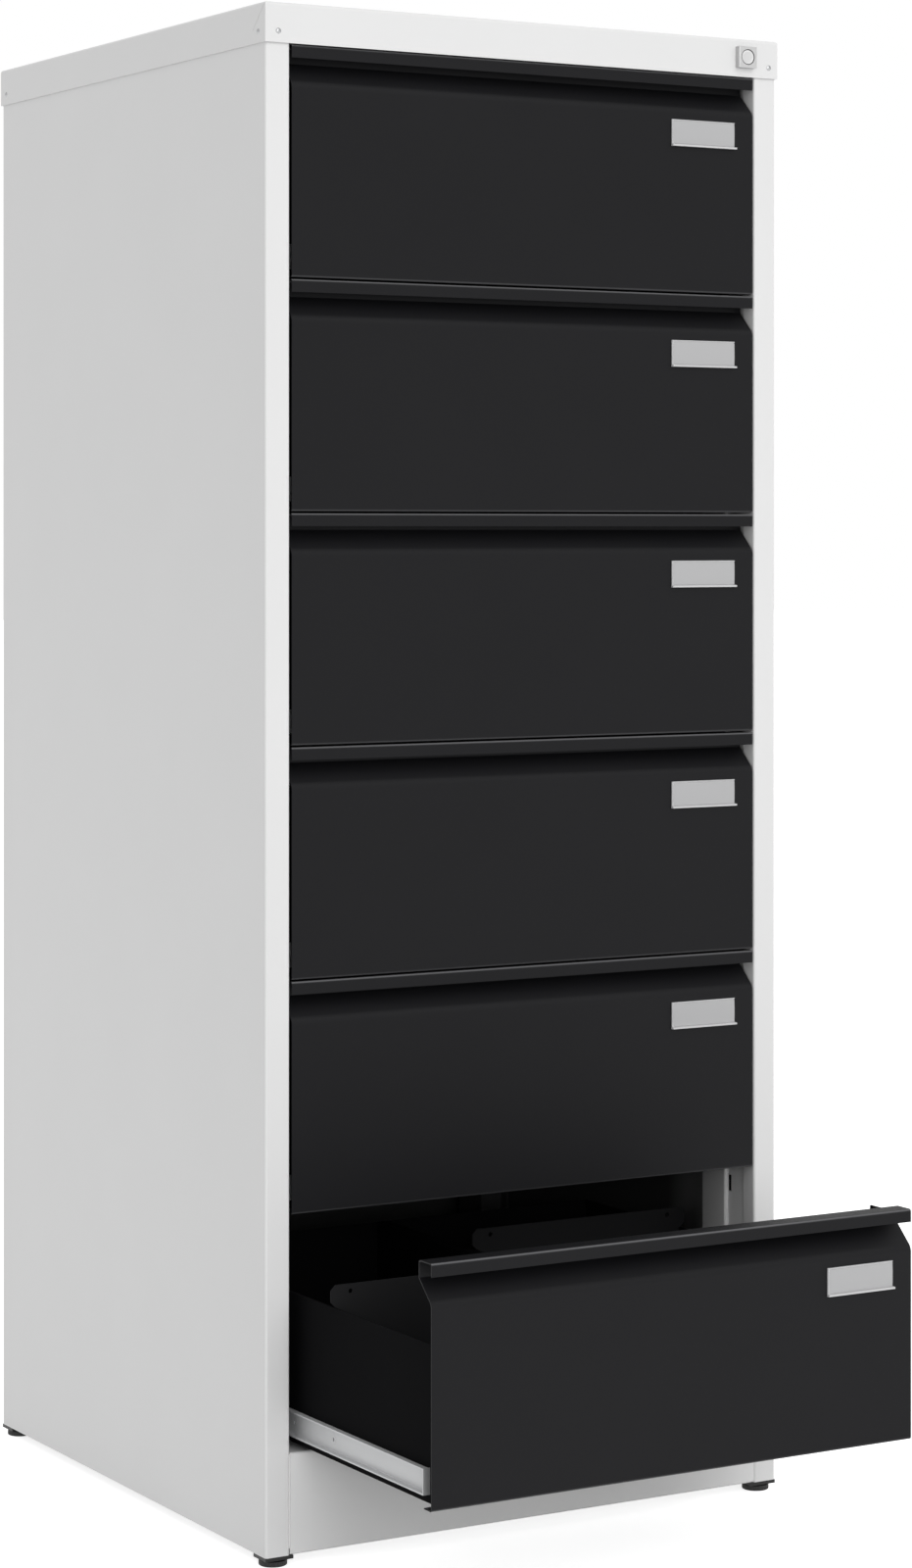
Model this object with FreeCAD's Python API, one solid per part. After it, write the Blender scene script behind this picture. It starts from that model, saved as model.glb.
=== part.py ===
import FreeCAD, Part
import math
import os

# Card index cabinet: a tall folded-steel case with a cap lid and six drawers on ball slides. Each drawer has two
# rows for A5 cards, with a sliding card stop in each. One lock bars all the drawers, and the case stands on four
# levelling feet. Its front is towards -Y, and the lowest drawer is drawn part of the way out.
# Distances right (u), back (v) and up (h) are counted from the body's front left bottom corner.

# Body, in millimetres
body_width = 513.0
body_depth = 540.0
body_height = 1285.0
foot_drop = 8.8
case_sheet = 1.2
case_bend = 1.0
cut_margin = 1.0

# Side panels, whose folded front edges are the uprights
upright_width = 22.65
upright_return = 16.5
rear_flange = 20.0
panel_clearance = 0.3

# Lid
lid_skirt = 33.5
lid_clearance = 0.1
lid_front_clearance = 0.6
lid_bend = 1.2
flap_reach = 22.0
flap_seam = 0.5
rivet_drop = 24.0
rivet_inset = 11.0
right_rivet_inset = 8.0
rivet_radius = 1.6
rivet_head_radius = 2.5
rivet_head_height = 1.0
rivet_clearance = 0.05

# Top rail, plinth and bottom pan
top_rail_drop = 1.0
top_rail_depth = 28.0
plinth_height = 84.5
plinth_top_flange = 40.0
plinth_bottom_flange = 15.0
plinth_seam = 0.3
pan_flange = 13.0

# Drawer fronts
drawer_count = 6
top_gap = 0.5
front_gap = 1.5
bottom_gap = 3.1
side_gap = 1.85
drawer_sheet = 1.0
drawer_bend = 1.0
lip_height = 10.8
lip_depth = 19.0
pull_wall_height = 14.0
pull_height = 32.0
pull_soft_bend = 8.0
front_return = 12.0

# Trays
tray_lift = 1.0
tray_wall = 124.4
tray_length = 488.0
tray_hem = 6.0
divider_width = 13.0
divider_foot = 4.5

# Ball slides
rail_inset = 25.0
slide_thickness = 10.0
rail_rise = 18.5
rail_sheet = 1.2
rail_bend = 0.6
inner_rail_height = 21.0
inner_rail_depth = 6.3
inner_rail_setback = 20.3
outer_rail_depth = 9.0
outer_rail_setback = 43.5
outer_rail_length = 480.0
ball_diameter = 3.0
ball_clearance = 0.25
ball_hole_clearance = 0.1
ball_depth = 5.8
balls_in_row = 5
cage_sheet = 0.6
cage_web_gap = 0.6
cage_reach = 8.4
cage_end_gap = 1.0
full_travel = 350.0
shown_travel = 231.0
screw_places = [176.0, 243.0, 440.0]
screw_radius = 2.0
screw_head_radius = 3.9
screw_socket_radius = 1.5
screw_socket_depth = 1.5
screw_clearance = 0.1
screw_tip = 0.6

# Runner posts
post_front_clearance = 3.0
post_step = 42.4
post_face_end = 79.5
post_weld_flange = 12.0
rear_post_start = 470.0
rear_post_width = 45.0

# Card stops
stop_sheet = 1.2
stop_side_gap = 0.5
stop_rise = 18.6
stop_floor_gap = 0.3
stop_ear_reach = 3.0
stop_divider_gap = 0.25
stop_foot = 28.0
stop_corner = 9.0
stop_hole_radius = 2.0
stop_hole_inset = 18.4
stop_hole_drop = 6.0
stop_places = [177.0, 329.0]

# Label holders
holder_width = 68.0
holder_height = 23.5
holder_inset = 18.5
holder_drop = 41.0
holder_sheet = 0.8
holder_rim = 1.0
holder_rim_depth = 1.6
holder_lip_height = 1.6
holder_lip_depth = 3.2
card_thickness = 0.5

# Lock
lock_inset = 34.4
lock_drop = 16.4
lock_housing_side = 19.0
lock_housing_depth = 6.0
lock_housing_round = 0.6
lock_barrel_radius = 8.0
lock_barrel_length = 28.0
lock_hole_clearance = 0.2
cylinder_radius = 6.9
cylinder_clearance = 0.05
cylinder_recess = 0.4
key_slot = (1.4, 6.5, 9.0)
cam_radius = 10.5
cam_thickness = 2.0
cam_gap = 2.0
crank_radius = 7.0
crank_pin_radius = 2.0
crank_slot_clearance = 0.5
lock_clip_side = 24.0
lock_clip_sheet = 1.0

# Lock bar and the catches that it bars
bar_sheet = 2.0
bar_width = 8.0
bar_inset = 1.8
bar_back = 39.6
bar_tail = 12.0
finger_height = 13.8
finger_drop = 12.4
finger_inset = 21.0
slot_clearance = 0.6
slot_entry = 2.4
catch_sheet = 1.5
catch_gap = 2.1
catch_drop = 14.0
catch_height = 24.0
catch_clearance = 1.0
catch_foot = 11.0
catch_foot_top = 3.0
catch_foot_height = 10.0

# Feet
foot_inset = 13.0
foot_back = 12.0
foot_radius = 12.0
foot_disc = 5.2
foot_chamfer = 1.0
stem_radius = 4.0
stem_clearance = 0.05
stem_length = 27.1
stem_end_gap = 2.0
corner_block_width = 26.0
corner_block_depth = 22.0
corner_block_drop = 3.0
corner_plug_width = 20.0
corner_plug_depth = 21.0
corner_plug_height = 30.0
corner_plug_inset = 2.6

# Places worked out from the driving dimensions
skirt_bottom = body_height - lid_skirt
lid_underside = body_height - case_sheet
panel_top = lid_underside - lid_bend
lid_front = -(lid_front_clearance + case_sheet)
lid_side = -(lid_clearance + case_sheet)
lid_back = body_depth + lid_clearance + case_sheet
pitch = (skirt_bottom - top_gap + front_gap - bottom_gap - plinth_height) / drawer_count
front_height = pitch - front_gap
opening_left = upright_width
opening_right = body_width - upright_width
front_left = opening_left + side_gap
front_right = opening_right - side_gap
tray_left = rail_inset + slide_thickness
tray_right = body_width - tray_left
tray_start = drawer_sheet + drawer_bend
tray_end = tray_start + tray_length
tray_middle = body_width / 2
outer_rail_height = inner_rail_height + 2 * (ball_diameter + 2 * ball_clearance + rail_sheet)
pan_top = plinth_height - case_sheet
back_inside = body_depth - 2 * case_sheet
crank_rise = crank_radius * math.sqrt(0.5)
lock_travel = 2 * crank_rise
lock_right = body_width - lock_inset
lock_height = body_height - lock_drop
cylinder_end = lock_barrel_length + cam_gap
post_leg_right = body_width - upright_width + case_sheet
foremost = shown_travel + max(holder_lip_depth, holder_rim_depth)
rearmost = lid_back + rivet_head_height
front_y = (foremost - rearmost) / 2

up = FreeCAD.Vector(0, 0, 1)
right = FreeCAD.Vector(1, 0, 0)
back = FreeCAD.Vector(0, 1, 0)


def flat(points):
    """Points of a drawing, as pairs of numbers, made vectors."""
    return [FreeCAD.Vector(a, b, 0) for a, b in points]


def at(u, v, h):
    """The point that lies u right of, v behind and h above the body's front left bottom corner."""
    return FreeCAD.Vector(u - body_width / 2, front_y + v, foot_drop + h)


def block(u, v, h):
    """A box between two distances to the right, two to the back and two upwards."""
    return Part.makeBox(u[1] - u[0], v[1] - v[0], h[1] - h[0], at(u[0], v[0], h[0]))


def mirrored(shape):
    """The right-hand copy of a left-hand piece."""
    return shape.mirror(FreeCAD.Vector(0, 0, 0), right)


def front_to_back(shape):
    """The rear copy of a front piece, turned round the body's middle depth."""
    return shape.mirror(at(0, body_depth / 2, 0), back)


def lowered(shape, drop):
    return shape.translated(FreeCAD.Vector(0, 0, -drop))


def pulled(shape, distance):
    return shape.translated(FreeCAD.Vector(0, -distance, 0))


def group(solids):
    return Part.makeCompound(solids)


def corner_arc(before, corner, after, radius):
    """Start, middle and end of the arc that rounds a corner of a bent line."""
    comes = (corner - before).normalize()
    goes = (after - corner).normalize()
    half_turn = comes.getAngle(goes) / 2
    inward = (goes - comes).normalize()
    run = radius * math.tan(half_turn)
    centre = corner + inward * (radius / math.cos(half_turn))
    return corner - comes * run, centre - inward * radius, corner + goes * run


def bent_edges(points, radii, place):
    """The edges of a bent line, straight runs joined by tangent arcs, set in space by place."""
    edges = []
    reached = points[0]
    for before, corner, after, radius in zip(points, points[1:], points[2:], radii):
        start, middle, end = corner_arc(before, corner, after, radius)
        edges.append(Part.LineSegment(place(reached), place(start)).toShape())
        edges.append(Part.Arc(place(start), place(middle), place(end)).toShape())
        reached = end
    edges.append(Part.LineSegment(place(reached), place(points[-1])).toShape())
    return edges


def folded(view, points, span, sheet, bend, soft_bends=None):
    """A folded sheet: its line in one view, carried along a span square to that view.

    The sheet lies to the left of the line. bend is the inside radius of each fold, and soft_bends gives
    other inside radii by the number of the fold. The plan view draws right and back, the side view draws
    back and up, and the front view draws right and up.
    """
    start, end = span
    place, along = {
        "plan": (lambda p: at(p.x, p.y, start), up),
        "side": (lambda p: at(start, p.x, p.y), right),
        "front": (lambda p: at(p.x, start, p.y), back),
    }[view]
    line = flat(points)
    ways = [(b - a).normalize() for a, b in zip(line, line[1:])]
    lefts = [FreeCAD.Vector(-way.y, way.x, 0) for way in ways]
    moved = [line[0] + lefts[0] * sheet]
    for corner, left, next_left in zip(line[1:], lefts, lefts[1:]):
        moved.append(corner + (left + next_left) * (sheet / (1 + left.dot(next_left))))
    moved.append(line[-1] + lefts[-1] * sheet)
    near_radii = []
    far_radii = []
    for number, (left, next_way) in enumerate(zip(lefts, ways[1:])):
        inside = (soft_bends or {}).get(number, bend)
        turns_left = left.dot(next_way) > 0
        near_radii.append(inside + sheet if turns_left else inside)
        far_radii.append(inside if turns_left else inside + sheet)
    edges = bent_edges(line, near_radii, place) + bent_edges(moved, far_radii, place)
    for first, second in ((line[0], moved[0]), (line[-1], moved[-1])):
        edges.append(Part.LineSegment(place(first), place(second)).toShape())
    outline = Part.Wire(Part.sortEdges(edges)[0])
    return Part.Face(outline).extrude(along * (end - start))


def bar_between(start, end, radius):
    """A round bar from one point to another."""
    return Part.makeCylinder(radius, (end - start).Length, start, end - start)


def edges_along(shape, way, keep=lambda middle: True):
    """The straight edges that run along a direction and whose middle passes the test."""
    found = []
    for edge in shape.Edges:
        ends = [vertex.Point for vertex in edge.Vertexes]
        if len(ends) == 2 and (ends[1] - ends[0]).cross(way).Length < 1e-6:
            if keep((ends[0] + ends[1]) * 0.5):
                found.append(edge)
    return found


# Side panels: one sheet each, with the upright and its return folded at the front and a flange at the back

def side_panel():
    line = [
        (rear_flange, body_depth),
        (0, body_depth),
        (0, 0),
        (upright_width, 0),
        (upright_width, upright_return),
    ]
    return folded("plan", line, (0, panel_top), case_sheet, case_bend)


# Lid rivets: two in the front skirt, two in the back one and two in each side one

def lid_rivet_axes():
    """Pairs of a point on the lid's outer face and the way in."""
    height = body_height - rivet_drop
    rear = body_depth - rivet_inset
    far_side = body_width - lid_side
    return [
        (at(rivet_inset, lid_front, height), back),
        (at(body_width - right_rivet_inset, lid_front, height), back),
        (at(rivet_inset, lid_back, height), -back),
        (at(body_width - rivet_inset, lid_back, height), -back),
        (at(lid_side, rivet_inset, height), right),
        (at(lid_side, rear, height), right),
        (at(far_side, rivet_inset, height), -right),
        (at(far_side, rear, height), -right),
    ]


def rivet_length():
    return lid_front_clearance + 3 * case_sheet


def lid_rivet(point, inward):
    """A dome head on the lid and a shank through the lid and the panel behind it."""
    dome_radius = (rivet_head_radius ** 2 + rivet_head_height ** 2) / (2 * rivet_head_height)
    ball = Part.makeSphere(dome_radius, point + inward * (dome_radius - rivet_head_height))
    cap = Part.makeCylinder(rivet_head_radius + cut_margin, rivet_head_height, point, -inward)
    head = ball.common(cap)
    return head.fuse(bar_between(point, point + inward * rivet_length(), rivet_radius)).removeSplitter()


def rivet_holes():
    holes = []
    for point, inward in lid_rivet_axes():
        start = point - inward * rivet_head_height
        holes.append(bar_between(start, point + inward * 2 * rivet_length(), rivet_radius + rivet_clearance))
    return group(holes)


# Lid: a cap with a skirt on all four sides; each side skirt has the slanting seam of the front skirt's flap

def flap_cutter(side):
    """A thin slanting plate that cuts the seam of the flap down and back from the top front corner."""
    half = flap_seam * math.sqrt(0.5) / 2
    line = flat([
        (-flap_seam - half, flap_seam - half),
        (-flap_seam + half, flap_seam + half),
        (flap_reach + half, -flap_reach + half),
        (flap_reach - half, -flap_reach - half),
    ])
    corners = [at(side - flap_seam, lid_front + p.x, body_height + p.y) for p in line]
    outline = Part.makePolygon(corners + corners[:1])
    return Part.Face(outline).extrude(right * 2 * flap_seam)


def top_cover():
    far_side = body_width - lid_side
    cap = block((lid_side, far_side), (lid_front, lid_back), (skirt_bottom, body_height))
    at_top = lambda middle: middle.z > at(0, 0, body_height).z - 0.01
    outer_edges = edges_along(cap, right, at_top) + edges_along(cap, back, at_top)
    cap = cap.makeFillet(lid_bend + case_sheet, outer_edges)
    hollow = block(
        (-lid_clearance, body_width + lid_clearance),
        (-lid_front_clearance, body_depth + lid_clearance),
        (skirt_bottom - case_sheet, lid_underside),
    )
    below_top = lambda middle: middle.z > at(0, 0, lid_underside).z - 0.01
    inner_edges = edges_along(hollow, right, below_top) + edges_along(hollow, back, below_top)
    hollow = hollow.makeFillet(lid_bend, inner_edges)
    cap = cap.cut(hollow)
    cap = cap.cut(group([flap_cutter(lid_side), flap_cutter(far_side)]))
    return cap.cut(group([lock_hole(), rivet_holes()]))


# Back panel: a flat sheet behind the side panels' rear flanges

def back_panel():
    side = case_sheet + case_bend + panel_clearance
    sheet = block((side, body_width - side), (back_inside, body_depth - case_sheet), (0, panel_top))
    return sheet.cut(rivet_holes())


# Top rail: a channel across the front, behind the lid's skirt, that stiffens the opening and holds the lock

def top_rail():
    low = skirt_bottom + top_rail_drop
    line = [(top_rail_depth, lid_underside), (0, lid_underside), (0, low), (top_rail_depth, low)]
    rail = folded("side", line, (opening_left, opening_right), case_sheet, case_bend)
    return rail.cut(lock_hole())


# Plinth: the panel below the lowest drawer, folded back at its top and bottom edges

def plinth():
    line = [(plinth_top_flange, plinth_height), (0, plinth_height), (0, 0), (plinth_bottom_flange, 0)]
    span = (opening_left + plinth_seam, opening_right - plinth_seam)
    return folded("side", line, span, case_sheet, case_bend)


# Bottom pan: the floor of the case, under the plinth's top flange, with its sides folded down on the panels

def bottom_pan():
    low = pan_top - pan_flange
    right_side = body_width - case_sheet
    line = [(right_side, low), (right_side, pan_top), (case_sheet, pan_top), (case_sheet, low)]
    start = upright_return + case_sheet
    return folded("front", line, (start, back_inside), case_sheet, case_bend)


# Runner posts: folded strips inside the side panels that carry the outer rails

def front_post():
    leg = upright_width - case_sheet
    weld = 2 * case_sheet
    line = [
        (leg, post_front_clearance),
        (leg, post_step),
        (rail_inset, post_step),
        (rail_inset, post_face_end),
        (weld, post_face_end),
        (weld, post_face_end + post_weld_flange),
    ]
    return folded("plan", line, (pan_top, skirt_bottom), case_sheet, case_bend)


def rear_post():
    weld = 2 * case_sheet
    rear_post_end = rear_post_start + rear_post_width
    line = [
        (weld, rear_post_start - post_weld_flange),
        (weld, rear_post_start),
        (rail_inset, rear_post_start),
        (rail_inset, rear_post_end),
        (weld, rear_post_end),
        (weld, rear_post_end + post_weld_flange),
    ]
    return folded("plan", line, (pan_top, skirt_bottom), case_sheet, case_bend)


def finger_slots():
    """The openings in the right front post that the lock bar's fingers come out of, with room in front of the bar
    to hook it in."""
    leg = (post_leg_right - cut_margin, post_leg_right + case_sheet + cut_margin)
    depth = (bar_back - slot_entry, bar_back + bar_sheet + slot_clearance)
    slots = []
    for number in range(drawer_count):
        top = drawer_top(number) - finger_drop + slot_clearance
        bottom = drawer_top(number) - finger_drop - finger_height - slot_clearance
        slots.append(block(leg, depth, (bottom, top)))
    return group(slots)


def runner_posts():
    slotted = mirrored(front_post()).cut(finger_slots())
    return group([front_post(), slotted, rear_post(), mirrored(rear_post())])


# Ball slides: an outer rail on the posts, an inner rail on the tray and a cage of balls between them

def rail_height(number):
    """The height of the slides' middle line for a drawer."""
    return drawer_top(number) - front_height + rail_rise


def outer_rail(number):
    middle = rail_height(number)
    top = middle + outer_rail_height / 2
    bottom = middle - outer_rail_height / 2
    edge = rail_inset + outer_rail_depth
    line = [(edge, top), (rail_inset, top), (rail_inset, bottom), (edge, bottom)]
    span = (outer_rail_setback, outer_rail_setback + outer_rail_length)
    return folded("front", line, span, rail_sheet, rail_bend)


def inner_rail():
    middle = rail_height(0)
    top = middle + inner_rail_height / 2
    bottom = middle - inner_rail_height / 2
    edge = tray_left - inner_rail_depth
    line = [(edge, bottom), (tray_left, bottom), (tray_left, top), (edge, top)]
    rail = folded("front", line, (inner_rail_setback, tray_end), rail_sheet, rail_bend)
    end = (inner_rail_setback, inner_rail_setback + rail_sheet)
    rail = rail.fuse(block((edge, tray_left), end, (bottom, top))).removeSplitter()
    return rail.cut(group([rail_screw(place, screw_clearance) for place in screw_places]))


def rail_screw(place, growth=0.0):
    """A countersunk socket screw through the inner rail and the tray's wall, or with growth the hole for it."""
    middle = rail_height(0)
    web = tray_left - rail_sheet
    deep = screw_head_radius - screw_radius
    head_end = web + min(deep, rail_sheet - 2 * screw_clearance)
    head = Part.makeCone(
        screw_head_radius + growth,
        screw_head_radius + growth - (head_end - web),
        head_end - web,
        at(web, place, middle),
        right,
    )
    tip = tray_left + drawer_sheet + (screw_tip if growth == 0 else cut_margin)
    shank = bar_between(at(web, place, middle), at(tip, place, middle), screw_radius + growth)
    screw = head.fuse(shank).removeSplitter()
    if growth:
        return screw
    socket_end = at(web + screw_socket_depth, place, middle)
    return screw.cut(bar_between(at(web - cut_margin, place, middle), socket_end, screw_socket_radius))


def drawer_rails():
    left_pieces = [inner_rail()] + [rail_screw(place) for place in screw_places]
    return group(left_pieces + [mirrored(piece) for piece in left_pieces])


def cage_span():
    """Front and rear end of a cage in a closed drawer, so that it stays between both rails at full travel."""
    overlap_start = max(inner_rail_setback, outer_rail_setback)
    overlap_end = min(tray_end, outer_rail_setback + outer_rail_length)
    length = overlap_end - full_travel - overlap_start - 2 * cage_end_gap
    middle = (overlap_start + overlap_end) / 2
    return middle - length / 2, middle + length / 2


def ball_cage():
    """One cage strip and its two rows of balls."""
    middle = rail_height(0)
    ball_line = inner_rail_height / 2 + ball_clearance + ball_diameter / 2
    web = rail_inset + rail_sheet + cage_web_gap
    edge = rail_inset + cage_reach
    top = middle + ball_line + cage_sheet / 2
    bottom = middle - ball_line - cage_sheet / 2
    start, end = cage_span()
    line = [(edge, top), (web, top), (web, bottom), (edge, bottom)]
    strip = folded("front", line, (start, end), cage_sheet, cage_sheet / 2)
    space = (end - start) / balls_in_row
    balls = []
    holes = []
    for number in range(balls_in_row):
        place = start + space * (number + 0.5)
        for height in (middle - ball_line, middle + ball_line):
            centre = at(rail_inset + ball_depth, place, height)
            balls.append(Part.makeSphere(ball_diameter / 2, centre))
            hole = bar_between(
                centre - up * cage_sheet,
                centre + up * cage_sheet,
                ball_diameter / 2 + ball_hole_clearance,
            )
            holes.append(hole)
    return [strip.cut(group(holes))] + balls


def ball_cages():
    left_pieces = ball_cage()
    return group(left_pieces + [mirrored(piece) for piece in left_pieces])


# Drawer fronts: one sheet each, folded into a hooked lip with a finger recess behind and under it

def drawer_top(number):
    """The height of a drawer front's top edge, counting drawers down from 0."""
    return skirt_bottom - top_gap - number * pitch


def drawer_front():
    top = drawer_top(0)
    bottom = top - front_height
    line = [
        (drawer_sheet, top - lip_height),
        (drawer_sheet, top - drawer_sheet),
        (lip_depth, top - drawer_sheet),
        (lip_depth, top - pull_wall_height),
        (0, top - pull_height),
        (0, bottom),
        (front_return, bottom),
    ]
    panel = folded("side", line, (front_left, front_right), drawer_sheet, drawer_bend, {3: pull_soft_bend})
    return group([panel, catch()])


# Catches: a bracket behind each front, whose tab the lock bar's finger stands in front of when it is out

def catch():
    top = drawer_top(0)
    foot_back_face = lip_depth + drawer_sheet
    arm_right = body_width - finger_inset - lock_travel - catch_clearance
    arm = (arm_right - catch_sheet, arm_right)
    tab_front = bar_back + bar_sheet + catch_gap
    tab_back = tab_front + catch_sheet
    low = top - catch_drop - catch_height
    foot_top = top - catch_foot_top
    foot = block(
        (arm_right - catch_foot, arm_right),
        (foot_back_face, foot_back_face + catch_sheet),
        (foot_top - catch_foot_height, foot_top),
    )
    plate = block(arm, (foot_back_face, tab_back), (low, foot_top))
    tab_right = body_width - rail_inset - catch_clearance
    tab = block((arm_right, tab_right), (tab_front, tab_back), (low, top - catch_drop))
    return foot.fuse([plate, tab]).removeSplitter()


# Trays: a floor sheet between two side walls with flat hems, a plate at each end and a hollow divider. The tray
# stands on the return along the front's bottom edge.

def tray_floor():
    return drawer_top(0) - front_height + tray_lift + drawer_sheet


def tray_rim():
    return tray_floor() - drawer_sheet + tray_wall


def tray_side():
    """The left wall, with its hem folded flat inwards and the holes for the rail's screws."""
    low = tray_floor() - drawer_sheet
    rim = tray_rim()
    inside = tray_left + drawer_sheet
    wall = block((tray_left, inside), (tray_start, tray_end), (low, rim))
    between = (tray_start + drawer_sheet, tray_end - drawer_sheet)
    hem = block((inside, inside + drawer_sheet), between, (rim - tray_hem, rim))
    holes = group([rail_screw(place, screw_clearance) for place in screw_places])
    return wall.fuse(hem).removeSplitter().cut(holes)


def tray():
    floor = tray_floor()
    rim = tray_rim()
    across = (tray_left + drawer_sheet, tray_right - drawer_sheet)
    between = (tray_start + drawer_sheet, tray_end - drawer_sheet)
    pieces = [
        tray_side(),
        mirrored(tray_side()),
        block(across, (tray_start, tray_end), (floor - drawer_sheet, floor)),
        block(across, (tray_start, tray_start + drawer_sheet), (floor, rim)),
        block(across, (tray_end - drawer_sheet, tray_end), (floor, rim)),
    ]
    left_wall = tray_middle - divider_width / 2
    right_wall = tray_middle + divider_width / 2
    line = [
        (right_wall - divider_foot, floor),
        (right_wall, floor),
        (right_wall, rim),
        (left_wall, rim),
        (left_wall, floor),
        (left_wall + divider_foot, floor),
    ]
    pieces.append(folded("front", line, between, drawer_sheet, drawer_bend))
    return group(pieces)


# Card stops: a plate across each row, with a foot behind it and an ear over the wall at each end

def card_stop(place):
    """The stop of the left row, with its card face at a distance behind the drawer's front."""
    rim = tray_rim()
    low = tray_floor() + stop_floor_gap
    high = rim + stop_rise
    row = (tray_left + 2 * drawer_sheet, tray_middle - divider_width / 2)
    body = (row[0] + stop_side_gap, row[1] - stop_side_gap)
    ears = (tray_left - stop_ear_reach, tray_middle - stop_divider_gap)
    line = [(place, rim + stop_corner), (place, low), (place + stop_foot, low)]
    plate = folded("side", line, body, stop_sheet, case_bend)
    ear_plate = block(ears, (place, place + stop_sheet), (rim + stop_floor_gap, high))
    ear_plate = ear_plate.makeChamfer(stop_corner / 2, edges_along(ear_plate, back))
    holes = []
    for u in (ears[0] + stop_hole_inset, ears[1] - stop_hole_inset):
        start = at(u, place - cut_margin, high - stop_hole_drop)
        end = at(u, place + stop_sheet + cut_margin, high - stop_hole_drop)
        holes.append(bar_between(start, end, stop_hole_radius))
    return plate.fuse(ear_plate).removeSplitter().cut(group(holes))


# Label holders: a plate on the front with a rim above and at the left and a deeper lip below, and a card

def label_holder():
    top = drawer_top(0) - holder_drop
    bottom = top - holder_height
    end = front_right - holder_inset
    start = end - holder_width
    plate = block((start, end), (-holder_sheet, 0), (bottom, top))
    upper_rim = block((start, end), (-holder_rim_depth, 0), (top - holder_rim, top))
    left_rim = block((start, start + holder_rim), (-holder_rim_depth, 0), (bottom, top))
    lower_lip = block((start, end), (-holder_lip_depth, 0), (bottom, bottom + holder_lip_height))
    frame = plate.fuse([upper_rim, left_rim, lower_lip]).removeSplitter()
    card = block(
        (start + holder_rim, end),
        (-holder_sheet - card_thickness, -holder_sheet),
        (bottom + holder_lip_height, top - holder_rim),
    )
    return group([frame, card])


# Lock: a square housing on the lid's skirt with its barrel through the top rail, held by a clip behind

def lock_hole():
    start = at(lock_right, lid_front - cut_margin, lock_height)
    end = at(lock_right, upright_return + case_sheet, lock_height)
    return bar_between(start, end, lock_barrel_radius + lock_hole_clearance)


def lock_housing():
    half = lock_housing_side / 2
    face = lid_front - lock_housing_depth
    square = block(
        (lock_right - half, lock_right + half),
        (face, lid_front),
        (lock_height - half, lock_height + half),
    )
    in_front = lambda middle: middle.y < at(0, face, 0).y + 0.01
    rounded = edges_along(square, back)
    rounded += edges_along(square, right, in_front)
    rounded += edges_along(square, up, in_front)
    square = square.makeFillet(lock_housing_round, rounded)
    barrel = bar_between(
        at(lock_right, lid_front, lock_height),
        at(lock_right, lock_barrel_length, lock_height),
        lock_barrel_radius,
    )
    bore = bar_between(
        at(lock_right, face - cut_margin, lock_height),
        at(lock_right, lock_barrel_length + cut_margin, lock_height),
        cylinder_radius + cylinder_clearance,
    )
    clip_half = lock_clip_side / 2
    clip = block(
        (lock_right - clip_half, opening_right - panel_clearance),
        (case_sheet, case_sheet + lock_clip_sheet),
        (lock_height - clip_half, lock_height + clip_half),
    )
    wide_barrel = bar_between(
        at(lock_right, 0, lock_height),
        at(lock_right, lock_barrel_length, lock_height),
        lock_barrel_radius + lock_hole_clearance,
    )
    return group([square.fuse(barrel).cut(bore).removeSplitter(), clip.cut(wide_barrel)])


def lock_cylinder():
    face = lid_front - lock_housing_depth + cylinder_recess
    start = at(lock_right, face, lock_height)
    plug = bar_between(start, at(lock_right, cylinder_end, lock_height), cylinder_radius)
    cam = bar_between(
        at(lock_right, cylinder_end, lock_height),
        at(lock_right, cylinder_end + cam_thickness, lock_height),
        cam_radius,
    )
    pin = bar_between(
        at(lock_right + crank_rise, cylinder_end, lock_height + crank_rise),
        at(lock_right + crank_rise, bar_back + bar_sheet + slot_clearance, lock_height + crank_rise),
        crank_pin_radius,
    )
    width, height, depth = key_slot
    slot = block(
        (lock_right - width / 2, lock_right + width / 2),
        (face - cut_margin, face + depth),
        (lock_height - height / 2, lock_height + height / 2),
    )
    return plug.fuse([cam, pin]).cut(slot).removeSplitter()


# Lock bar: a flat strip behind the right upright, moved to the left by the lock's crank pin, so that its fingers
# come out of the post's slots

def lock_bar():
    strip_right = body_width - bar_inset
    strip_left = strip_right - bar_width
    depth = (bar_back, bar_back + bar_sheet)
    slot_half = crank_pin_radius + crank_slot_clearance
    slot_left = lock_right + crank_rise - slot_half
    slot_right = lock_right + crank_rise + slot_half
    slot_bottom = lock_height + crank_rise - slot_half
    slot_top = lock_height + crank_radius + slot_half
    highest = slot_top + bar_sheet
    lowest = drawer_top(drawer_count - 1) - finger_drop - finger_height - bar_tail
    strip = block((strip_left, strip_right), depth, (lowest, highest))
    head = block((slot_left - bar_sheet, strip_right), depth, (slot_bottom - bar_sheet, highest))
    fingers = []
    for number in range(drawer_count):
        top = drawer_top(number) - finger_drop
        reach = (body_width - finger_inset, strip_left + bar_sheet)
        fingers.append(block(reach, depth, (top - finger_height, top)))
    slot = block(
        (slot_left, slot_right),
        (bar_back - cut_margin, bar_back + bar_sheet + cut_margin),
        (slot_bottom, slot_top),
    )
    return strip.fuse([head] + fingers).removeSplitter().cut(slot)


# Feet: a moulded block in each bottom corner and a screwed levelling foot in it

def corner_block():
    ledge = block((0, corner_block_width), (0, corner_block_depth), (-corner_block_drop, 0))
    plug = block(
        (case_sheet + lid_clearance, corner_plug_width),
        (corner_plug_inset, corner_plug_depth),
        (0, corner_plug_height),
    )
    plug = plug.makeFillet(case_bend + case_sheet, edges_along(plug, up))
    hole_end = at(foot_inset, foot_back, -foot_drop + foot_disc + stem_length + stem_end_gap)
    hole = bar_between(at(foot_inset, foot_back, -foot_drop), hole_end, stem_radius + stem_clearance)
    return ledge.fuse(plug).removeSplitter().cut(hole)


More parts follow.
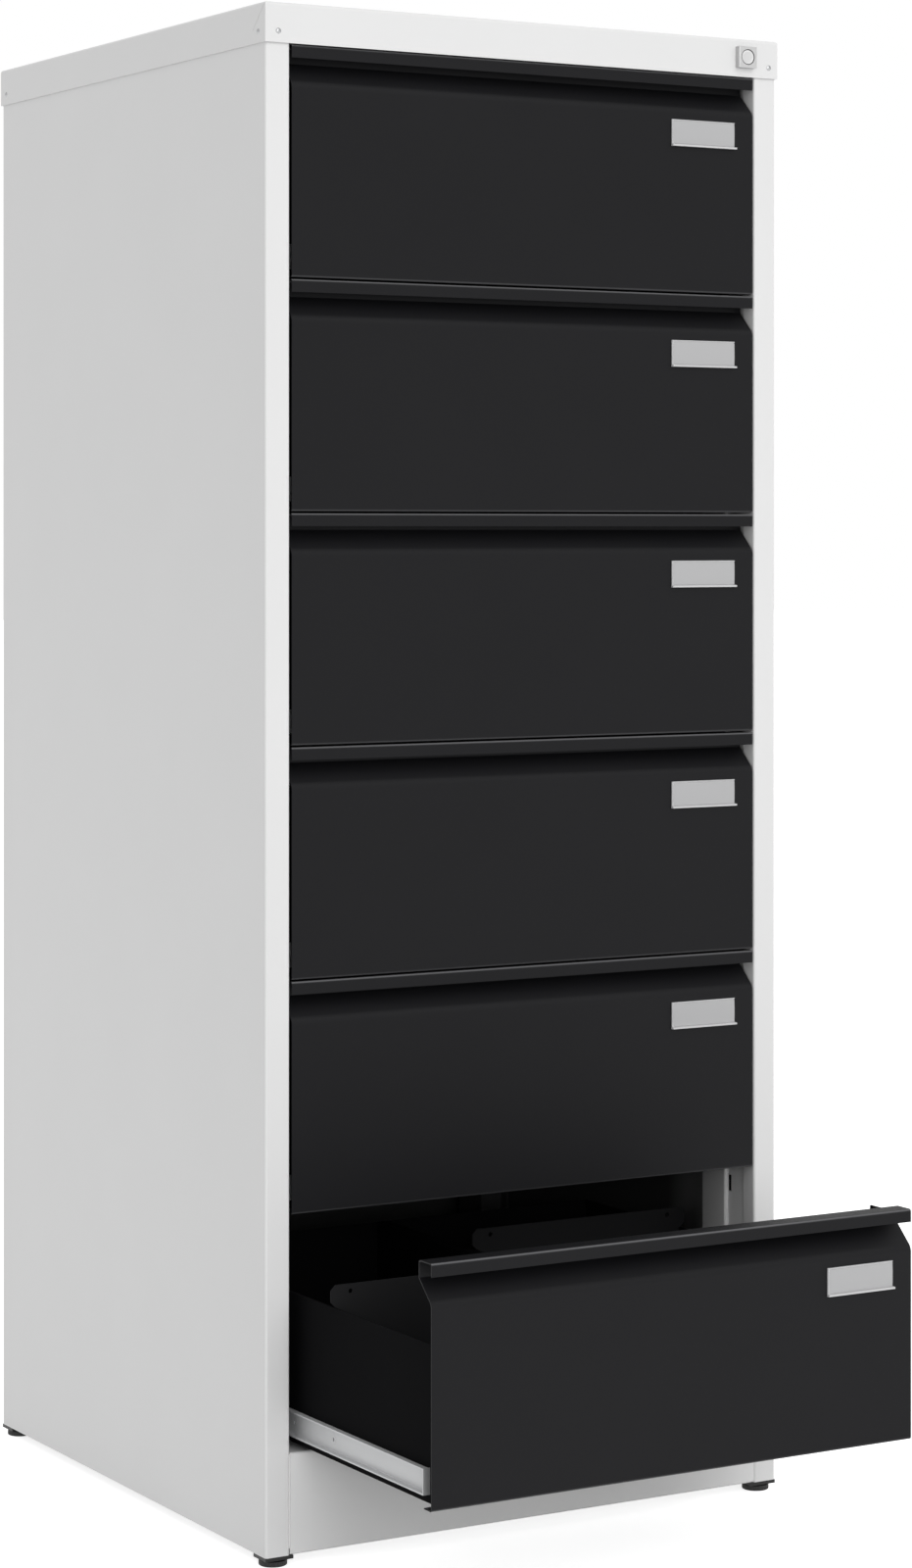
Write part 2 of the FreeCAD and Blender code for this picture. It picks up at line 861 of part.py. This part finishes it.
def foot_brackets():
    left = [corner_block(), front_to_back(corner_block())]
    return group(left + [mirrored(piece) for piece in left])


def levelling_foot():
    ground = at(foot_inset, foot_back, -foot_drop)
    disc = Part.makeCylinder(foot_radius, foot_disc, ground)
    top_rim = [edge for edge in disc.Edges if edge.Closed and edge.CenterOfMass.z > ground.z + foot_disc / 2]
    disc = disc.makeChamfer(foot_chamfer, top_rim)
    stem = Part.makeCylinder(stem_radius, stem_length, ground + up * foot_disc)
    return disc.fuse(stem).removeSplitter()


# All the nodes, by name

nodes = {
    "left_side_panel": side_panel().cut(rivet_holes()),
    "right_side_panel": mirrored(side_panel()).cut(rivet_holes()),
    "back_panel": back_panel(),
    "top_cover": top_cover(),
    "top_rail": top_rail(),
    "plinth": plinth(),
    "bottom_pan": bottom_pan(),
    "runner_posts": runner_posts(),
    "foot_brackets": foot_brackets(),
    "lock_housing": lock_housing(),
    "lock_cylinder": lock_cylinder(),
    "lock_bar": lock_bar(),
    "case_rivets": group([lid_rivet(point, inward) for point, inward in lid_rivet_axes()]),
}

outer_rails = []
for number in range(drawer_count):
    rail = outer_rail(number)
    outer_rails += [rail, mirrored(rail)]
nodes["outer_rails"] = group(outer_rails)

foot = levelling_foot()
nodes["foot_front_left"] = foot
nodes["foot_front_right"] = mirrored(foot)
nodes["foot_rear_left"] = front_to_back(foot)
nodes["foot_rear_right"] = mirrored(front_to_back(foot))

drawer_pieces = {
    "front": drawer_front(),
    "tray": tray(),
    "rails": drawer_rails(),
    "label_holder": label_holder(),
    "left_card_stop": card_stop(stop_places[0]),
    "right_card_stop": mirrored(card_stop(stop_places[1])),
}
cages = ball_cages()
for number in range(drawer_count):
    travel = shown_travel if number == drawer_count - 1 else 0.0
    for piece, shape in drawer_pieces.items():
        nodes[f"drawer_{number + 1}_{piece}"] = pulled(lowered(shape, number * pitch), travel)
    nodes[f"drawer_{number + 1}_ball_cages"] = pulled(lowered(cages, number * pitch), travel / 2)

os.makedirs("parts", exist_ok=True)
for name, shape in nodes.items():
    shape.exportStep(f"parts/{name}.step")
    solids = shape.Solids
    volume = sum(solid.Volume for solid in solids)
    print(f"{name}: {len(solids)} solids, {volume / 1000:.1f} cm3, valid {shape.isValid()}")
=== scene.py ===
from math import radians, tau

import bmesh
import bpy
import numpy as np
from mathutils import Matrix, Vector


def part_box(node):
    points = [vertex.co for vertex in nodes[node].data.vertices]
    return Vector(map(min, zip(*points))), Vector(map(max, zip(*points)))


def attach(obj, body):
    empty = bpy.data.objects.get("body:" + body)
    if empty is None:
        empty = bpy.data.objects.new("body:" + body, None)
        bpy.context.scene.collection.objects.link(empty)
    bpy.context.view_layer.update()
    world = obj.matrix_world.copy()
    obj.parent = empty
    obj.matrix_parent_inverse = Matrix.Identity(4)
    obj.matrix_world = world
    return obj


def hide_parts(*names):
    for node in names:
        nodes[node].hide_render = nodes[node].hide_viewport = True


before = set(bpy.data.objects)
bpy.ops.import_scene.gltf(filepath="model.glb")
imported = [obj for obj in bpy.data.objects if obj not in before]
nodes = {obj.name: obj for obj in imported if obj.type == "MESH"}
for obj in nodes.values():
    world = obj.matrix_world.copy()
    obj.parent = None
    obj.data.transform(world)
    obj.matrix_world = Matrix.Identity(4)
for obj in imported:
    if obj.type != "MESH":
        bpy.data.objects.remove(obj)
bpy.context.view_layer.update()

# Case: side panels, back, top rail, plinth, bottom pan and runner posts. Folded 1.2 mm steel sheet, spot
# welded, sprayed with a pale grey polyester powder and baked. The powder melts into an even satin skin with
# a faint orange peel, so the sheets look flat and soft, and brighter where they face the light.


def linear(code):
    """A hex colour made linear by the sRGB curve: c / 12.92 up to 0.04045, and above it
    ((c + 0.055) / 1.055) ** 2.4."""
    c = np.array([int(code[i:i + 2], 16) for i in (1, 3, 5)]) / 255
    return (*np.where(c <= 0.04045, c / 12.92, ((c + 0.055) / 1.055) ** 2.4), 1.0)


def add(material, kind, inputs=(), **settings):
    """Adds a shader node of this kind with its settings. An input given a socket is linked to it, and any
    other takes the value."""
    made = material.node_tree.nodes.new("ShaderNode" + kind)
    for name, value in settings.items():
        setattr(made, name, value)
    for key, value in dict(inputs).items():
        if isinstance(value, bpy.types.NodeSocket):
            material.node_tree.links.new(value, made.inputs[key])
        else:
            made.inputs[key].default_value = value
    return made


def new_material(name, **constants):
    """A material, its shader with some constants set, and the object coordinates, which are in metres."""
    material = bpy.data.materials.new(name)
    material.use_nodes = True
    shader = material.node_tree.nodes["Principled BSDF"]
    for key, value in constants.items():
        shader.inputs[key.replace("_", " ")].default_value = value
    return material, shader, add(material, "TexCoord").outputs["Object"]


def uneven_skin(material, shader, texture, gloss, spread, height):
    """Bumps height mm high that follow the texture, and a roughness that rises from gloss - spread to
    gloss + spread while the texture does from 0.3 to 0.7."""
    uneven = add(material, "MapRange", {
        "Value": texture, "From Min": 0.3, "From Max": 0.7,
        "To Min": gloss - spread, "To Max": gloss + spread})
    bumps = add(material, "Bump", {"Height": texture, "Strength": 1.0, "Distance": height / 1000})
    material.node_tree.links.new(uneven.outputs[0], shader.inputs["Roughness"])
    material.node_tree.links.new(bumps.outputs[0], shader.inputs["Normal"])


def powder_coat(name, tones, gloss, reflection, peel, grain_size=1.6, drift_size=90):
    """Sprayed polyester powder, IOR 1.5: the tone drifts between two near colours over drift_size mm, as the
    layer's thickness does, and the melted grains leave waves peel mm high, which also make the gloss uneven."""
    material, shader, where = new_material(name, IOR=1.5, Specular_IOR_Level=reflection)
    drift = add(material, "TexNoise", {"Vector": where, "Scale": 1000 / drift_size, "Detail": 3.0})
    mixed = {0: drift.outputs["Fac"], 6: linear(tones[0]), 7: linear(tones[1])}
    tone = add(material, "Mix", mixed, data_type="RGBA")
    material.node_tree.links.new(tone.outputs[2], shader.inputs["Base Color"])
    grain = add(material, "TexNoise", {"Vector": where, "Scale": 1000 / grain_size, "Detail": 2.0})
    uneven_skin(material, shader, grain.outputs["Fac"], gloss, 0.05, peel)
    return material


def finish_nodes(material, *names):
    """Gives CAD nodes a material in each of their slots."""
    for name in names:
        for slot in nodes[name].material_slots:
            slot.material = material


def recolour(material, other, share, rises):
    """Mixes the shader's base colour towards another one by a share, times a factor for each rise, which goes
    evenly from 0 to 1 while its socket goes from its start to its end."""
    for socket, start, end in rises:
        rise = add(material, "MapRange", {"Value": socket, "From Min": start, "From Max": end})
        share = add(material, "Math", {0: share, 1: rise.outputs[0]}, operation="MULTIPLY").outputs[0]
    target = material.node_tree.nodes["Principled BSDF"].inputs["Base Color"]
    mixed = {0: share, 6: target.links[0].from_socket, 7: linear(other)}
    tone = add(material, "Mix", mixed, data_type="RGBA")
    material.node_tree.links.new(tone.outputs[2], target)


def interior_painted_shade(material, colour, low, high):
    """Painted shade inside the case: between two depths behind the front, the pale coat's colour gives way to a
    dark grey that stands for the shade deep in the case. low and high are the corners of the left side panel's
    box. The outward faces lie past the skin lines, which are inside that box at the side and back and above it
    at the lid, and keep their colour."""
    shade_starts, shade_full = 0.04, 0.17
    side_skin, back_skin, lid_skin, blur = 0.0006, 0.0016, 0.0006, 0.0001
    where = add(material, "TexCoord").outputs["Object"]
    place = add(material, "SeparateXYZ", {0: where}).outputs
    from_middle = add(material, "Math", {0: place["X"]}, operation="ABSOLUTE").outputs[0]
    side, back, lid = -low[0] - side_skin, high[1] - back_skin, high[2] + lid_skin
    recolour(material, colour, 1.0, [
        (place["Y"], low[1] + shade_starts, low[1] + shade_full), (from_middle, side + blur, side - blur),
        (place["Y"], back + blur, back - blur), (place["Z"], lid + blur, lid - blur)])


case_powder = powder_coat("pale grey powder coat", ("#DEDEDE", "#E1E1E1"), 0.45, 0.4, peel=0.006)
# The insides of the case and lid are darkened with depth behind the front: painted shade.
interior_painted_shade(case_powder, "#424242", *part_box("left_side_panel"))
finish_nodes(case_powder, "left_side_panel", "right_side_panel", "back_panel", "top_rail", "plinth",
             "bottom_pan", "runner_posts")

# Feet: in each bottom corner a block moulded from black polypropylene, pressed into the sheet, and in it a
# levelling foot, a moulded disc with grip ribs round its rim on an M8 stem with a coarse black thread.


def moulded_plastic(name, tones, gloss, reflection=0.5):
    """Injection moulded plastic, IOR 1.49, with a spark-eroded skin: grains of 0.8 mm, 0.004 mm high."""
    material = powder_coat(name, tones, gloss, reflection, peel=0.004, grain_size=0.8)
    material.node_tree.nodes["Principled BSDF"].inputs["IOR"].default_value = 1.49
    return material


def grid_faces(rows, columns):
    """The quads between the points of a grid, numbered row by row."""
    first = np.arange(rows - 1)[:, None] * columns + np.arange(columns - 1)
    return np.stack([first, first + 1, first + columns + 1, first + columns], axis=-1).reshape(-1, 4)


def new_piece(name, points, faces, material, body, replaced=(), sharp_from=35):
    """A closed piece from its points in metres: doubles merged, faces turned outwards, and smooth over every
    edge that bends by less than sharp_from degrees."""
    mesh = bpy.data.meshes.new(name)
    mesh.from_pydata(points.reshape(-1, 3).tolist(), [], faces.tolist())
    shell = bmesh.new()
    shell.from_mesh(mesh)
    bmesh.ops.remove_doubles(shell, verts=shell.verts, dist=1e-6)
    bmesh.ops.recalc_face_normals(shell, faces=shell.faces)
    shell.to_mesh(mesh)
    shell.free()
    mesh.shade_smooth()
    mesh.set_sharp_from_angle(angle=radians(sharp_from))
    mesh.materials.append(material)
    made = bpy.data.objects.new(name, mesh)
    bpy.context.scene.collection.objects.link(made)
    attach(made, body)
    if replaced:
        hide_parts(*replaced)
    return made


def turned(outline, centre, turns, cut=None):
    """A surface turned round an upright axis: the radius r(z) of the outline, in millimetres, less what
    cut(r, z, angle) gives. Its points are (r cos a, r sin a, z) from the centre, in metres."""
    radius, height = np.array(outline, float).T[..., None]
    angle = np.linspace(0, tau, turns + 1)
    reach = np.repeat(radius, turns + 1, axis=1) - (cut(radius, height, angle) if cut else 0)
    level = np.repeat(height, turns + 1, axis=1)
    points = np.stack([reach * np.cos(angle), reach * np.sin(angle), level], -1)
    return points / 1000 + centre, grid_faces(len(outline), turns + 1)


disc_radius, disc_height, stem_radius, stem_top = 12.0, 5.2, 4.0, 32.3
rib_count, rib_depth, rib_low, rib_high = 36, 0.4, 1.1, disc_height - 1.5
thread_pitch, thread_depth, thread_low, thread_high = 1.25, 0.45, disc_height + 0.3, stem_top - 0.6


def grip_and_thread(radius, height, angle):
    """What is cut from a foot: its rim by rib_depth * (1 - cos(rib_count * angle)) / 2, and its stem by a
    helical groove, thread_depth * |2 * frac(z / thread_pitch - angle / 2 pi) - 1|."""
    on_rim = (radius > 0) & (height >= rib_low) & (height <= rib_high)
    on_stem = (radius > 0) & (height >= thread_low) & (height <= thread_high)
    ribs = rib_depth * (1 - np.cos(rib_count * angle)) / 2
    groove = thread_depth * np.abs(2 * ((height / thread_pitch - angle / tau) % 1) - 1)
    return on_rim * ribs + on_stem * groove


black_plastic = moulded_plastic("black moulded polypropylene", ("#131313", "#171717"), 0.42, reflection=0.35)
finish_nodes(black_plastic, "foot_brackets")
stem_steps = np.arange(thread_low, thread_high, 0.2)
foot_outline = np.concatenate([
    [(0, 0), (disc_radius - 1.6, 0), (disc_radius - 0.7, 0.15), (disc_radius - 0.2, 0.5),
     (disc_radius, rib_low), (disc_radius, 2.6), (disc_radius, rib_high),
     (disc_radius - 0.15, disc_height - 0.8), (disc_radius - 0.55, disc_height - 0.3),
     (disc_radius - 1.2, disc_height), (stem_radius + 0.5, disc_height), (stem_radius, disc_height + 0.2)],
    np.stack([np.full(len(stem_steps), stem_radius), stem_steps], -1),
    [(stem_radius - 0.4, stem_top - 0.4), (stem_radius - 0.8, stem_top), (0, stem_top)]])
for corner in ("front_left", "front_right", "rear_left", "rear_right"):
    low, high = (np.array(point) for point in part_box(f"foot_{corner}"))
    centre = [(low[0] + high[0]) / 2, (low[1] + high[1]) / 2, low[2]]
    points, faces = turned(foot_outline, centre, turns=144, cut=grip_and_thread)
    new_piece(f"levelling_foot_{corner}", points, faces, black_plastic, f"foot_{corner}",
              [f"foot_{corner}"])

# Lid: a cap folded from one sheet with a skirt all round, whose flaps meet in slanting seams at the corners,
# in the same powder as the case. Eight blind rivets of bright zinc-plated steel hold its skirt, their domes
# left bare.


def plated_steel(name, colour, gloss, bare=1.0, rolled=(1, 1, 1), streak_size=1.5):
    """Zinc on steel: a metal of this colour whose gloss wavers with fine streaks of streak_size mm, 0.002 mm
    high, drawn out along the way that the strip was rolled, where the scale is small. bare is 1 for clean
    metal, and less for metal under a dull passivated skin."""
    material, shader, where = new_material(name, Base_Color=linear(colour), Metallic=bare)
    along = add(material, "Mapping", {"Vector": where, "Scale": rolled}).outputs[0]
    streak = add(material, "TexNoise", {"Vector": along, "Scale": 1000 / streak_size, "Detail": 3.0})
    uneven_skin(material, shader, streak.outputs["Fac"], gloss, 0.06, 0.002)
    return material


finish_nodes(case_powder, "top_cover")
finish_nodes(plated_steel("zinc-plated rivet steel", "#A6A7A8", 0.3), "case_rivets")

# Ball slides: an outer rail on the posts, an inner rail screwed to each tray wall, and a strip of balls
# between. Cold-rolled strip, zinc-plated and passivated, with fine streaks along its length and a dull cool
# white sheen.

drawers = range(1, 7)
slide_zinc = plated_steel("zinc-plated strip", "#C4C5C6", 0.45, bare=0.25, rolled=(1, 0.02, 1))
finish_nodes(slide_zinc, "outer_rails")
finish_nodes(slide_zinc, *[f"drawer_{k}_{part}" for k in drawers for part in ("rails", "ball_cages")])

# Trays: a floor between two hemmed side walls, end plates and a hollow divider. Folded 1 mm sheet in a matt
# black powder with a finer, duller grain than the fronts, because nothing shows once the drawer is shut.

tray_tones = ("#101011", "#131314")
tray_powder = powder_coat("matt black powder coat", tray_tones, 0.8, 0.02, peel=0.008, grain_size=1.0)
finish_nodes(tray_powder, *[f"drawer_{k}_tray" for k in drawers])

# Card stops: a folded plate with an ear over each wall of its row, slid along by hand. The same sheet and black
# powder as the tray, made a little lighter: painted light that lifts the stops where they sit in shade in the
# open drawer.

stop_lit_tones = ("#1F1F20", "#222223")
stop_lit_powder = powder_coat("black powder coat lightened as painted light", stop_lit_tones, 0.6, 0.05, peel=0.008, grain_size=1.0)
finish_nodes(stop_lit_powder, *[f"drawer_{k}_{side}_card_stop" for k in drawers for side in ("left", "right")])

# Drawer fronts: one sheet each, folded into a hooked lip over a finger recess, in a near-black satin powder.
# Its fine grain scatters the light, so the face stays dark and even. The thin light line along each fold is a
# painted highlight.


def painted_fold_highlights(material, colour, low, high, pitch):
    """Painted highlights on the folds at the top and bottom of each front: the base colour is lightened towards
    colour by (2 |ny nz|) ** 2. This is most where the normal slants at 45 degrees, only near an edge, and half
    as much at the bottom. low and high are the corners of the lowest front's box, and the fronts repeat upwards
    at the pitch."""
    fold_reach, blur, bottom_share = 0.0022, 0.0001, 0.5
    middle, half = (low[2] + high[2]) / 2, (high[2] - low[2]) / 2
    where = add(material, "TexCoord").outputs["Object"]
    height = add(material, "SeparateXYZ", {0: where}).outputs["Z"]
    above = add(material, "Math", {0: height, 1: middle - pitch / 2}, operation="SUBTRACT").outputs[0]
    turn = add(material, "Math", {0: above, 1: pitch}, operation="FLOORED_MODULO").outputs[0]
    from_middle = add(material, "Math", {0: turn, 1: pitch / 2}, operation="SUBTRACT").outputs[0]
    away = add(material, "Math", {0: from_middle}, operation="ABSOLUTE").outputs[0]
    upper = add(material, "MapRange", {
        "Value": from_middle, "From Min": -half, "From Max": half, "To Min": bottom_share}).outputs[0]
    normal = add(material, "NewGeometry").outputs["Normal"]
    facing = add(material, "SeparateXYZ", {0: normal}).outputs
    slant = add(material, "Math", {0: facing["Y"], 1: facing["Z"]}, operation="MULTIPLY").outputs[0]
    double = add(material, "Math", {0: slant, 1: 2.0}, operation="MULTIPLY").outputs[0]
    fold_highlight = add(material, "Math", {0: double, 1: double}, operation="MULTIPLY", use_clamp=True).outputs[0]
    at_edge = (away, half - fold_reach, half - fold_reach + blur)
    recolour(material, colour, fold_highlight, [at_edge, (upper, 0.0, 1.0)])


front_powder = powder_coat("near-black satin powder coat", ("#131315", "#161618"), 0.5, 0.13, peel=0.008)
front_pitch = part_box("drawer_1_front")[1][2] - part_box("drawer_2_front")[1][2]
# Lightens the fronts' folds towards #626264: painted highlight.
painted_fold_highlights(front_powder, "#626264", *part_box("drawer_6_front"), front_pitch)
finish_nodes(front_powder, *[f"drawer_{k}_front" for k in drawers])

# Label holders: a light grey moulded holder with a rim above and at its left, a deeper lip below and its
# right end open, where a grey card slides in. Stuck on the front. Satin plastic, and matt card that bows out
# a little.


def ramp(x):
    """Rises smoothly from 0 to 1 as x does: x * x * (3 - 2 * x)."""
    x = np.clip(x, 0, 1)
    return x * x * (3 - 2 * x)


def lines_with_edges(length, edges, step):
    """Grid lines from 0 to length, about step apart, with closer ones just past each edge and at both ends."""
    fine = np.array([0, 0.05, 0.12, 0.22, 0.35])
    marks = [np.arange(0.6, length - 0.5, step), fine, length - fine]
    marks += [edge + fine for edge in edges] + [[edge - 0.05] for edge in edges]
    lines = np.unique(np.round(np.concatenate(marks), 4))
    return lines[(lines >= 0) & (lines <= length)]


def relief(across, upward, depth, origin, shorten=None, rounding=0.3):
    """A closed plate with its back on the front sheet: at (x, z) it stands depth(x, z) millimetres proud.
    Its outer edges are rounded: at a distance d from them it loses r - sqrt(r ** 2 - (r - d) ** 2), with r
    for the rounding, and shorten(z) takes that much off its length."""
    x, z = np.meshgrid(across, upward)
    width, height = across[-1], upward[-1]
    edge = np.minimum.reduce([x, width - x, z, height - z, np.full(x.shape, rounding)])
    lost = rounding - np.sqrt(np.maximum(rounding ** 2 - (rounding - edge) ** 2, 0))
    place = x * (1 - (shorten(z) if shorten else 0) / width)
    front = np.stack([place, lost - depth(x, z), z], -1)
    behind = np.stack([place, np.zeros(x.shape), z], -1)
    rows, columns = x.shape
    faces = grid_faces(rows, columns)
    count = rows * columns
    number = np.arange(count).reshape(rows, columns)
    rim = np.concatenate([number[0, :], number[1:, -1], number[-1, -2::-1], number[-2:0:-1, 0]])
    after = np.roll(rim, -1)
    sides = np.stack([rim, after, after + count, rim + count], -1)
    points = np.concatenate([front.reshape(-1, 3), behind.reshape(-1, 3)])
    return points / 1000 + origin, np.concatenate([faces, faces[:, ::-1] + count, sides])


rim_width, rim_depth, lip_height, lip_depth, plate_depth = 1.0, 1.6, 1.6, 3.2, 0.8
shoulder, lip_past_plate, plate_step = 0.3, 1.5, 0.1
card_gap, card_front, card_bow = 0.4, 0.35, 0.25


def holder_depth(x, z):
    """The plate, its rims above and at the left, and the lip below: each rises over a short shoulder, and the
    deepest counts."""
    top = ramp((z - (holder_height - rim_width)) / shoulder)
    left = ramp((rim_width - x) / shoulder + 1)
    lip = ramp((lip_height - z) / shoulder + 1)
    rims = plate_depth + (rim_depth - plate_depth) * np.maximum(top, left)
    return np.maximum(rims, plate_depth + (lip_depth - plate_depth) * lip)


def holder_shorten(z):
    """The plate ends before the lip does: by lip_past_plate, from just above the lip's shoulder."""
    return lip_past_plate * ramp((z - lip_height - shoulder) / plate_step)


def card_depth(x, z):
    """A card that bows out halfway up: card_front + card_bow * sin(pi * z / card_height)."""
    return card_front + card_bow * np.sin(np.pi * z / card_height)


holder_plastic = moulded_plastic("light grey moulded polystyrene", ("#C4C4C5", "#C7C7C8"), 0.35)
card_paper = powder_coat("grey card", ("#B0B0B1", "#B3B3B4"), 0.7, 0.3, peel=0.004, grain_size=0.7)
for k in drawers:
    low, high = (np.array(point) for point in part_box(f"drawer_{k}_label_holder"))
    holder_width, holder_height = (high[0] - low[0]) * 1000, (high[2] - low[2]) * 1000
    card_width = holder_width - rim_width - card_gap - lip_past_plate
    card_height = holder_height - rim_width - lip_height - 2 * card_gap
    points, faces = relief(
        lines_with_edges(holder_width, [rim_width], 4.0),
        lines_with_edges(holder_height, [lip_height, lip_height + shoulder, holder_height - rim_width], 4.0),
        holder_depth, (low[0], high[1], low[2]), holder_shorten)
    new_piece(f"drawer_{k}_holder", points, faces, holder_plastic, f"drawer_{k}",
              [f"drawer_{k}_label_holder"])
    card_left, card_back = low[0] + (rim_width + card_gap) / 1000, high[1] - plate_depth / 1000
    card_foot = low[2] + (lip_height + card_gap) / 1000
    points, faces = relief(
        lines_with_edges(card_width, [], 6.0), lines_with_edges(card_height, [], 1.5),
        card_depth, (card_left, card_back, card_foot))
    new_piece(f"drawer_{k}_card", points, faces, card_paper, f"drawer_{k}")

# Lock: a square die-cast housing, satin nickel-plated, and in it a round cylinder, whose keyway is closed by a
# sprung shutter. A thin black ring round the shutter is painted shade that stands for the dark gap between
# cylinder and housing. Behind the case's front the cam's pin moves a bar of strip to the left, and its fingers
# then hold the drawers shut. The bar gets the trays' black as painted shade, so that the slot it shows through
# reads dark.

finish_nodes(plated_steel("satin nickel on zinc casting", "#BDBDBD", 0.4), "lock_housing")
nickel = plated_steel("brushed nickel on brass", "#CFCFCF", 0.34)
finish_nodes(nickel, "lock_cylinder")
# The bar's black is painted shade for the slot it shows through.
finish_nodes(tray_powder, "lock_bar")
low, high = (np.array(point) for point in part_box("lock_cylinder"))
cylinder_face = [(low[0] + high[0]) / 2, low[1], (low[2] + high[2]) / 2]
shutter_radius, shutter_depth, ring_start, ring_radius, ring_depth = 6.2, 0.25, 6.22, 6.88, 0.12
shutter_outline = [
    (0, 0), (shutter_radius, 0), (shutter_radius, shutter_depth - 0.12),
    (shutter_radius - 0.04, shutter_depth - 0.05), (shutter_radius - 0.12, shutter_depth),
    (shutter_radius - 0.9, shutter_depth), (shutter_radius - 1.0, shutter_depth - 0.04),
    (shutter_radius - 1.3, shutter_depth - 0.06), (0, shutter_depth - 0.06)]
# The black ring is painted shade for the gap round the shutter.
ring_outline = [
    (ring_start, 0), (ring_radius, 0), (ring_radius, ring_depth - 0.04), (ring_radius - 0.08, ring_depth),
    (ring_start + 0.08, ring_depth), (ring_start, ring_depth - 0.04), (ring_start, 0)]
for name, outline, finish, slot in (("shutter", shutter_outline, nickel, "lock_metal"),
                                    ("ring", ring_outline, black_plastic, "black_plastic")):
    points, faces = turned(outline, (0, 0, 0), turns=96)
    points = np.stack([points[..., 0], -points[..., 2], points[..., 1]], -1) + cylinder_face
    new_piece(f"lock_{name}", points, faces, finish, "lock_cylinder")

# Floor: a wide sheet of white studio paper. Seen by the camera, in gloss or through glass it also glows, so
# that it runs into the white background, and it keeps a faint shadow under the cabinet.


def seen_directly(material):
    """1 for rays from the camera and for mirrored or transmitted ones, 0 for the rest."""
    path = add(material, "LightPath").outputs
    seen = path["Is Camera Ray"]
    for ray in ("Is Glossy Ray", "Is Transmission Ray"):
        seen = add(material, "Math", {0: seen, 1: path[ray]}, operation="ADD", use_clamp=True).outputs[0]
    return seen


floor_reach, paper_glow = 30.0, 0.8
corners = np.array([(-1, -1, 0), (1, -1, 0), (1, 1, 0), (-1, 1, 0)]) * floor_reach
mesh = bpy.data.meshes.new("floor")
mesh.from_pydata(corners.tolist(), [], [(0, 1, 2, 3)])
paper = bpy.data.materials.new("white studio paper")
paper.use_nodes = True
paper.node_tree.nodes.clear()
glow = add(paper, "Math", {0: seen_directly(paper), 1: paper_glow}, operation="MULTIPLY")
glowing = add(paper, "Emission", {"Strength": glow.outputs[0]})
matt = add(paper, "BsdfDiffuse", {"Color": linear("#EDEDED")})
both = add(paper, "AddShader", {0: glowing.outputs[0], 1: matt.outputs[0]})
add(paper, "OutputMaterial", {"Surface": both.outputs[0]})
mesh.materials.append(paper)
floor = bpy.data.objects.new("floor", mesh)
bpy.context.scene.collection.objects.link(floor)

# Light: an even white room, a large soft lamp high in front and a low one a little to the left, which
# reaches under the open drawer. A surface that faces them shows about its own colour.

world = bpy.data.worlds.new("white room")
bpy.context.scene.world = world
world.use_nodes = True
world.node_tree.nodes.clear()
room_light = 0.65
level = add(world, "MapRange", {"Value": seen_directly(world), "To Min": room_light, "To Max": 1.0})
room = add(world, "Background", {"Color": (1, 1, 1, 1), "Strength": level.outputs[0]})
add(world, "OutputWorld", {"Surface": room.outputs[0]})
for name, height, turn, strength, spread in (("key", 38, 5, 0.82, 50), ("fill", 8, -14, 0.72, 25)):
    lamp = bpy.data.lights.new(name, "SUN")
    lamp.energy = strength
    lamp.angle = radians(spread)
    sun = bpy.data.objects.new(name, lamp)
    sun.rotation_euler = (radians(90 - height), 0, radians(turn))
    bpy.context.scene.collection.objects.link(sun)

# Camera: level, 0.86 m above the floor, 30 degrees to the left of the front. Its lens is that of the
# photograph on a 931 x 1600 frame, which was cut off-centre, hence the shift.

lens = bpy.data.cameras.new("camera")
lens.lens = 85.48
lens.sensor_width = 36.0
lens.shift_x = 0.0069
lens.shift_y = -0.1616
camera = bpy.data.objects.new("camera", lens)
camera.location = (-1.6767, -2.8803, 0.857)
camera.rotation_euler = (radians(90), 0, radians(-30.279))
bpy.context.scene.collection.objects.link(camera)
bpy.context.scene.camera = camera
bpy.context.scene.view_settings.view_transform = "Standard"
